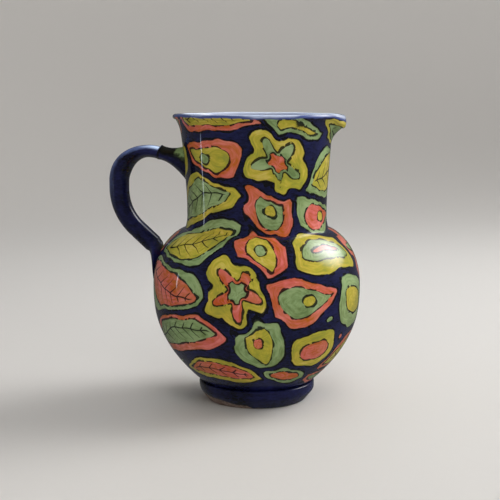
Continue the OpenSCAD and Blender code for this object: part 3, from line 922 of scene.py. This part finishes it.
def motifs_group():
    """Painted motifs over the ground: three nested layers, the dark line round each, and veins.

    Each layer covers where its edge distance is below zero. The line lies along that edge, as
    wide as noise makes it, and breaks off here and there. On leaves a vein follows the length,
    and others leave it at a slant, each as far from the next.
    """
    tree, (colour, yellow, coral, green, dark, line_width) = new_group(
        "Painted motifs", Ground="Color", Yellow="Color", Coral="Color", Green="Color",
        Line="Color", Width="Float")
    at = object_coords(tree)
    stroke = attribute(tree, "stroke", "Vector")
    shake = (noise(at, 170, 3) - 0.5) * 1.5
    width = span(noise(at, 120, 2, 0.6), 0.3, 0.68, 0.15, 1.5) * line_width
    width *= span(noise(at, 210), 0.36, 0.43)
    height = lines = 0.0
    for layer, calm in (("outer", 1), ("middle", 0.8), ("inner", 0.35)):
        edge = attribute(tree, "edge_" + layer) + shake * calm
        is_coral, is_green, _ = split(attribute(tree, "tone_" + layer, "Vector"))
        brushed, load = place(
            tree, "Brushed colour", Stroke=stroke, Strength=0.5 - is_coral * 0.3 - is_green * 0.25,
            Color=mixed(is_green, mixed(is_coral, yellow, coral), green),
            Tint=mixed(is_green, mixed(is_coral, green, yellow), dark))
        inside = span(edge, 0.12, -0.12)
        colour = mixed(inside, colour, brushed)
        height = inside * (load + 0.5) + height
        line = span(width * 0.5 - abs(edge - width * 0.3), -0.14, 0.1)
        lines = calc("MAXIMUM", line, lines)
        if layer == "middle":
            within = span(edge, -1.6, -2.2)
    along, across, is_leaf = split(attribute(tree, "leaf", "Vector"))
    aside = abs(across + shake * 0.3)
    beside = calc("PINGPONG", along - aside * 0.8 + shake * 0.5, 3.8) * 0.75 + aside * 0.04
    vein = span(calc("MINIMUM", aside, beside), 0.62, 0.34) * within * span(is_leaf, 0.9, 0.99)
    lines = calc("MAXIMUM", lines, vein)
    return ended(mixed(lines * 0.94, colour, dark), height + lines * 0.5)


def white_group():
    """White lining glaze: milky, bluish where thick, with a few iron specks."""
    tree, (white, thick) = new_group("White glaze", White="Color", Thick="Color")
    at = object_coords(tree)
    cloud = noise(at, 38, 3, 0.6)
    colour = mixed(span(cloud, 0.35, 0.7), white, thick)
    return ended(mixed(span(noise(at, 900, 1), 0.74, 0.79, 0, 0.6), colour, IRON), cloud)


GROUPS = {"Cobalt ground": cobalt_group, "Brushed colour": brushed_group,
          "Painted motifs": motifs_group, "White glaze": white_group}


def cobalt(tree, look):
    """Colour and height of the cobalt ground."""
    return place(tree, "Cobalt ground", Deep=look.cobalt, Bright=look.cobalt_bright)


def white(tree, look):
    """Colour and height of the white glaze."""
    return place(tree, "White glaze", White=look.white, Thick=look.white_thick)


def set_shader(tree, inputs):
    """Feed the inputs of a material's Principled shader."""
    shader = tree.nodes["Principled BSDF"]
    for key, value in inputs.items():
        feed(value, shader.inputs[key])


def glazed(tree, colour, height, coat=1.0, roughness=GLAZE_ROUGHNESS, relief=0.05):
    """Ceramic in a colour, with a relief in millimetres, under a clear, glossy coat."""
    bump = put(tree, "ShaderNodeBump", {"Strength": 1.0, "Distance": relief * MM, "Height": height})
    set_shader(tree, {"Base Color": colour, "Roughness": roughness, "IOR": 1.5,
                      "Specular IOR Level": 0.05, "Coat Weight": coat, "Coat Roughness": 0.035,
                      "Coat IOR": 1.5, "Normal": bump})


def painted_finish(tree, look):
    """Finish of belly and neck: cobalt ground, motifs, and white glaze over the rim."""
    ground, ground_height = cobalt(tree, look)
    colour, height = place(tree, "Painted motifs", Ground=ground, Yellow=look.yellow,
                           Coral=look.coral, Green=look.green, Line=look.line,
                           Width=look.line_width)
    at = object_coords(tree)
    edge = attribute(tree, "edge_white") + (noise(at, 60, 3, 0.6) - 0.5) * 3.4
    run = (noise(at, 24) - 0.5) * 9.0
    colour = mixed(span(edge, -0.9, -0.3), colour, look.rim_blue)
    colour = mixed(span(edge + run, 0.3, 1.9), colour, white(tree, look)[0])
    glazed(tree, colour, height + ground_height * 0.5)


def foot_finish(tree, look):
    """Finish of the foot: cobalt down to a wavy line, and stained clay bare below it.

    The line is higher on the handle's side, and the glaze is dark along it.
    """
    at = object_coords(tree)
    x, _, z = split(at)
    sway = noise(at, 55, 4, 0.6) - 0.5
    line = (span(x + sway * 0.02, 0.001, -0.004, 0.0002, 0.0027)
            + span(x, -0.004, -0.04, 0, 0.0046) + sway * 0.004)
    over = z - line
    grit = noise(at, 700, 4, 0.7)
    bare = mixed(span(grit, 0.35, 0.7), look.clay_dark, look.clay)
    bare = mixed(span(noise(at, 120, 3, 0.6), 0.5, 0.66, 0, 0.8), bare, look.clay_dark)
    colour = mixed(span(over, -0.0001, 0.0003), bare, cobalt(tree, look)[0])
    colour = mixed(span(abs(over), 0.0007, 0.0002, 0, 0.6), colour, look.line)
    height = span(over, -0.0002, 0.0005, 0, 3) + grit * 1.4
    glaze = span(over, -0.0001, 0.0002)
    glazed(tree, colour, height, glaze, span(glaze, 0, 1, BARE_ROUGHNESS, GLAZE_ROUGHNESS))


def handle_finish(tree, look):
    """Finish of the handle: cobalt, with a milky band along its top that is partly thin glaze and
    partly a painted highlight, strongest near the seam, and dark and green paint on its root.
    """
    ground, ground_height = cobalt(tree, look)
    at = object_coords(tree)
    load = noise(stretched(at, (1, 2.4, 1)), 260, 4, 0.65)
    sway = (noise(at, 150, 3, 0.6) - 0.5) * 5.0
    along = attribute(tree, "along")
    wavy = along + sway
    top = attribute(tree, "topside") + sway * 0.18
    before_seam = span(along, 0.3, -0.2)
    on_root = span(top, 0.14, 0.34) * before_seam
    root = mixed(span(load, 0.3, 0.5, 0.3, 1), look.olive, look.green)
    root = mixed(span(wavy, -13.5, -11.5), root, look.olive)
    # Painted highlight, partly thin glaze: the strap's top turns milky blue, fully within 16 mm of the
    # seam and gone by 62 mm
    crest_glaze_and_highlight = span(top, 0.35, 0.8) * span(wavy, 62, 16) * span(load, 0.25, 0.6, 0.6, 1)
    border = span(abs(top - 0.24), 0.32, 0.12, 0, 0.85) * before_seam
    seam = span(abs(along + 0.4), 1.1, 0.4, 0, 0.9)
    colour = mixed(crest_glaze_and_highlight, ground, look.milky)
    for mask, over in ((on_root, root), (border, look.line), (seam, look.line)):
        colour = mixed(mask, colour, over)
    glazed(tree, colour, ground_height + load * 0.4, span(on_root, 0, 1, 0.85, 0),
           span(on_root, 0, 1, GLAZE_ROUGHNESS, BARE_ROUGHNESS))


def white_finish(tree, look):
    """Finish of the lining."""
    glazed(tree, *white(tree, look), relief=0.1)


FINISHES = {"painted_motifs": painted_finish, "foot_glaze": foot_finish,
            "handle_glaze": handle_finish, "white_lining": white_finish}


def new_material(name):
    """Material with its node tree, still without a finish."""
    material = bpy.data.materials.new(name)
    material.use_nodes = True
    return material


def finish(look, name):
    """The finish of a name, built the first time that a piece asks for it."""
    if name not in bpy.data.materials:
        FINISHES[name](new_material(name).node_tree, look)
    return bpy.data.materials[name]


# Settings

def paint(name, description, rgb):
    """Colour property, given as sRGB in 0 to 255."""
    share = [c / 255 for c in rgb]
    linear = [c / 12.92 if c <= 0.04045 else ((c + 0.055) / 1.055) ** 2.4 for c in share]
    return bpy.props.FloatVectorProperty(name=name, description=description, subtype="COLOR", size=4,
                                         min=0, max=1, default=(*linear, 1))


def number(name, description, default, **settings):
    """Number property. The settings give its limits, unit or subtype."""
    return bpy.props.FloatProperty(name=name, description=description, default=default, **settings)


class JugLook(bpy.types.PropertyGroup):
    """Colours and brushwork of the jug."""
    cobalt: paint("Cobalt", "Ground colour where it pooled", (8, 9, 28))
    cobalt_bright: paint("Thin cobalt", "Ground colour where it is thin", (38, 42, 98))
    yellow: paint("Yellow", "Yellow of the motifs", (192, 174, 42))
    coral: paint("Coral", "Coral of the motifs", (207, 98, 80))
    green: paint("Green", "Green of the motifs", (142, 166, 110))
    olive: paint("Olive", "Dark paint on the handle's root", (30, 27, 18))
    line: paint("Line", "Dark line round the motifs", (14, 14, 18))
    white: paint("White", "White glaze where thin", (204, 211, 228))
    white_thick: paint("Thick white", "White glaze where thick", (164, 178, 214))
    rim_blue: paint("Rim blue", "Thin white glaze over cobalt, low on the rim", (72, 86, 142))
    # Milky blue is partly thin glaze and partly a painted highlight along the strap's top
    milky: paint("Milky blue", "Thin, milky cobalt along the top of the strap", (96, 118, 178))
    clay: paint("Clay", "Bare clay of the foot", (176, 158, 148))
    clay_dark: paint("Dark clay", "Stained clay of the foot", (120, 102, 94))
    line_width: number("Line width", "Width of the dark lines, in millimetres", 1.35, min=0.2, max=4)
    gap: number("Gap", "Least ground between two motifs, in millimetres", 3.6, min=1, max=15)
    seed: bpy.props.IntProperty(
        name="Seed", description="Seed of the motifs' unevenness", default=7, min=0)


class JugStage(bpy.types.PropertyGroup):
    """Camera and light."""
    distance: number("Camera distance", "Level distance of the camera from the jug's axis", 0.812,
                     unit="LENGTH")
    height: number("Camera height", "Height of the camera over the floor", 0.214, unit="LENGTH")
    side: number("Camera side", "Turn of the camera round the jug, from its front",
                 math.radians(5.0), subtype="ANGLE")
    pan: number("Camera pan", "Turn of the camera away from the jug's axis", math.radians(0.333),
                subtype="ANGLE")
    dip: number("Camera dip", "How far the camera looks down", math.radians(7.65), subtype="ANGLE")
    lens: number("Lens", "Focal length on a 36 mm sensor, in millimetres", 84.24)
    floor: paint("Floor", "Floor and backdrop", (209, 206, 202))
    ambient: number("Ambient", "Strength of the even light from all round", 0.1)
    key: number("Key", "Power of the soft main lamp", 25.0, unit="POWER")
    top: number("Top", "Power of the soft lamp overhead", 205.0, unit="POWER")
    front: number("Front", "Power of the soft lamp over the camera", 31.0, unit="POWER")
    sheen: number("Sheen", "Power of the bluish lamp that only the glaze mirrors", 13.0, unit="POWER")
    strip: number("Strip", "Power of the tall narrow lamp, also only mirrored", 0.1, unit="POWER")


# Stage

def set_camera(scene, stage):
    """Camera at a distance from the jug's axis, level but for its dip."""
    data = bpy.data.cameras.new("camera")
    data.lens = stage.lens
    data.sensor_width = 36.0
    data.clip_start, data.clip_end = 0.05, 20
    camera = bpy.data.objects.new("camera", data)
    camera.location = (stage.distance * math.sin(stage.side),
                       -stage.distance * math.cos(stage.side), stage.height)
    camera.rotation_euler = (math.pi / 2 - stage.dip, 0, stage.side + stage.pan)
    scene.collection.objects.link(camera)
    scene.camera = camera


def lay_floor(scene, stage):
    """Round floor that curves up into the backdrop.

    It is a flat disc, a quarter circle and a wall, turned about the jug's axis. The dark glaze
    would mirror it as a grey haze, so it is hidden from mirrored light.
    """
    r, z = arc(STAGE_R, STAGE_BEND, STAGE_BEND, -90, 0, 25)
    points = turned(around(np.append(r, r[-1]), np.append(z, STAGE_H), STAGE_COLUMNS))
    sides = grid_faces(len(points), STAGE_COLUMNS)[:, ::-1]
    mesh = bpy.data.meshes.new("floor")
    mesh.from_pydata(points.reshape(-1, 3), [], [list(range(STAGE_COLUMNS)), *sides.tolist()])
    mesh.shade_smooth()
    mesh.materials.append(floor_paper(stage))
    floor = bpy.data.objects.new("floor", mesh)
    floor.visible_glossy = False
    scene.collection.objects.link(floor)


def floor_paper(stage):
    """Finish of the floor. Far from the jug it looks paler than the lamps make it."""
    paper = new_material("floor_paper")
    tree = paper.node_tree
    at = object_coords(tree)
    tint = mixed(span(noise(at, 260, 3), 0.3, 0.7, 0, 0.04), stage.floor, (0.5, 0.5, 0.5, 1))
    seen = 0.0
    for ray in ("Is Camera Ray", "Is Glossy Ray", "Is Transmission Ray"):
        seen = calc("MAXIMUM", put(tree, "ShaderNodeLightPath", output=ray), seen)
    away = put(tree, "ShaderNodeVectorMath", {0: at}, "Value", operation="LENGTH")
    set_shader(tree, {"Base Color": tint, "Roughness": 0.8, "Emission Color": tint,
                      "Emission Strength": seen * span(away, 0.9, 6, 0, 0.6)})
    return paper


def lamp(name, power, size, at, aim, tint=(1, 1, 1), shape="RECTANGLE", spread=180, mirrored=True,
         lights=True):
    """Flat soft lamp at a place in metres, turned towards another.

    spread is the angle in degrees that it shines into. mirrored tells whether the glaze mirrors
    it, and lights whether it lights what it shines on.
    """
    data = bpy.data.lights.new(name, "AREA")
    data.shape = shape
    data.size, data.size_y = size
    data.energy = power
    data.color = tint
    data.spread = math.radians(spread)
    lamp_object = bpy.data.objects.new(name, data)
    way = np.asarray(aim, float) - np.asarray(at, float)
    lamp_object.visible_camera = False
    lamp_object.visible_glossy = mirrored
    lamp_object.visible_diffuse = lights
    lamp_object.location = at
    lamp_object.rotation_euler = (math.pi - math.acos(way[2] / np.linalg.norm(way)), 0,
                                  math.atan2(way[1], way[0]) - math.pi / 2)
    bpy.context.scene.collection.objects.link(lamp_object)
    # Its light fades towards its edge, so that its mirror image in the glaze is soft
    data.use_nodes = True
    tree = data.node_tree
    across = put(tree, "ShaderNodeNewGeometry", output="Parametric")
    off = put(tree, "ShaderNodeVectorMath", {0: across, 1: (0.5, 0.5, 0)}, "Value",
              operation="DISTANCE")
    feed(span(off, 0.5, 0.1), tree.nodes["Emission"].inputs["Strength"])


def light_stage(scene, stage):
    """Even light from all round and five soft lamps, two of them only for their mirror images."""
    world = scene.world or bpy.data.worlds.new("world")
    scene.world = world
    world.use_nodes = True
    air = world.node_tree.nodes["Background"].inputs
    air["Color"].default_value = (1, 1, 1, 1)
    air["Strength"].default_value = stage.ambient
    lamp("key", stage.key, (1.7, 1.4), (1.2, 0.6, 1.0), (0, 0, 0.12), shape="ELLIPSE", spread=115)
    lamp("top", stage.top, (7, 7), (0, 0.2, 4.5), (0, 0.1, 0), mirrored=False)
    lamp("front", stage.front, (1.3, 1.3), (0.3, -1.4, 1.5), (0, 0, 0.1), mirrored=False)
    lamp("sheen", stage.sheen, (0.9, 1.1), (-0.05, 1.1, 0.9), (0, 0, 0.12), (0.66, 0.81, 1.0),
         lights=False)
    lamp("strip", stage.strip, (0.02, 0.2), (-0.55, -0.03, 0.11), (0, -0.03, 0.11),
         (0.7, 0.8, 1.0), lights=False)


# Operators

class JUG_OT_stage(bpy.types.Operator):
    """Set up the camera, the floor with its backdrop, and the lamps."""
    bl_idname = "jug.stage"
    bl_label = "Stage"

    def execute(self, context):
        scene = context.scene
        scene.view_settings.view_transform = "Standard"
        for step in (set_camera, lay_floor, light_stage):
            step(scene, scene.jug_stage)
        return {"FINISHED"}


class JUG_OT_belly(bpy.types.Operator):
    """Make the painted belly."""
    bl_idname = "jug.belly"
    bl_label = "Belly"

    def execute(self, context):
        look = context.scene.jug_look
        sections, rows = belly_sections()
        marks = painted(look, sections, rows, 0.0)
        marks["edge_white"] = np.full(sections.shape[:2], -FAR)
        build("belly_glazed", turned(sections), finish(look, "painted_motifs"),
              ("belly",), poles=[(0, 0, RECESS_D), (0, 0, FLOOR_Z)], attributes=marks,
              sharp_rows=(1, 2, rows.start, rows.stop - 1, rows.stop))
        return {"FINISHED"}


class JUG_OT_neck(bpy.types.Operator):
    """Make the painted neck with its bead and its pouring lip."""
    bl_idname = "jug.neck"
    bl_label = "Neck and lip"

    def execute(self, context):
        look = context.scene.jug_look
        sections, rows, under_bead = neck_sections()
        line_z, _, line_up = wall_line()
        marks = painted(look, sections, rows, np.interp(NECK_Z, line_z, line_up))
        marks["edge_white"] = white_edge(sections, under_bead, rows)
        build("neck_glazed", turned(sections), finish(look, "painted_motifs"),
              ("neck", "pouring_lip"), attributes=marks,
              sharp_rows=(0, under_bead - 1, len(sections) - 1))
        return {"FINISHED"}


class JUG_OT_lining(bpy.types.Operator):
    """Make the white glaze inside."""
    bl_idname = "jug.lining"
    bl_label = "White lining"

    def execute(self, context):
        line = lining_line()
        thin = np.clip(np.arange(len(line)) / THIN_ROWS, 0.02, 1)[:, None]
        proud = offset_inwards(line, LINING_PROUD * thin)
        in_wall = offset_inwards(line, -LINING_T * thin)
        # Known fault: the faces point inwards, and the two poles are each on the other's side
        build("lining_glazed", turned(np.concatenate([proud[::-1], in_wall])),
              finish(context.scene.jug_look, "white_lining"), ("glaze_lining",),
              poles=[(0, 0, FLOOR_Z - LINING_PROUD), (0, 0, FLOOR_Z + LINING_T)])
        return {"FINISHED"}


class JUG_OT_foot(bpy.types.Operator):
    """Make the foot ring with its bare bevel."""
    bl_idname = "jug.foot"
    bl_label = "Foot ring"

    def execute(self, context):
        build("foot_glazed", turned(foot_sections()), finish(context.scene.jug_look, "foot_glaze"),
              ("foot_ring",))
        return {"FINISHED"}


class JUG_OT_handle(bpy.types.Operator):
    """Make the handle with its root and its tail."""
    bl_idname = "jug.handle"
    bl_label = "Handle"

    def execute(self, context):
        rings, run = handle_rings()
        count = rings.shape[1]
        along = np.repeat(run[:, None], count, axis=1)
        topside = np.repeat(oval_shares(count)[1][None, ::-1], len(rings), axis=0)
        build("handle_glazed", rings[:, ::-1], finish(context.scene.jug_look, "handle_glaze"),
              ("handle", "handle_root", "handle_tail"),
              poles=[rings[0].mean(axis=0), rings[-1].mean(axis=0)],
              attributes={"along": along, "topside": topside})
        return {"FINISHED"}


class JUG_PT_panel(bpy.types.Panel):
    """The jug's settings and steps."""
    bl_idname = "JUG_PT_panel"
    bl_label = "Painted jug"
    bl_space_type = "VIEW_3D"
    bl_region_type = "UI"
    bl_category = "Jug"

    def draw(self, context):
        for group in (context.scene.jug_look, context.scene.jug_stage):
            for key in group.__annotations__:
                self.layout.prop(group, key)
        for operator in OPERATORS:
            self.layout.operator(operator.bl_idname)


OPERATORS = (JUG_OT_stage, JUG_OT_belly, JUG_OT_neck, JUG_OT_lining, JUG_OT_foot, JUG_OT_handle)
CLASSES = (JugLook, JugStage, *OPERATORS, JUG_PT_panel)


def register():
    for cls in CLASSES:
        bpy.utils.register_class(cls)
    bpy.types.Scene.jug_look = bpy.props.PointerProperty(type=JugLook)
    bpy.types.Scene.jug_stage = bpy.props.PointerProperty(type=JugStage)


def unregister():
    del bpy.types.Scene.jug_stage
    del bpy.types.Scene.jug_look
    for cls in reversed(CLASSES):
        bpy.utils.unregister_class(cls)


def main():
    """Register the add-on and make everything in order."""
    register()
    bpy.ops.jug.stage()
    bpy.ops.jug.belly()
    bpy.ops.jug.neck()
    bpy.ops.jug.lining()
    bpy.ops.jug.foot()
    bpy.ops.jug.handle()


if __name__ == "__main__":
    main()
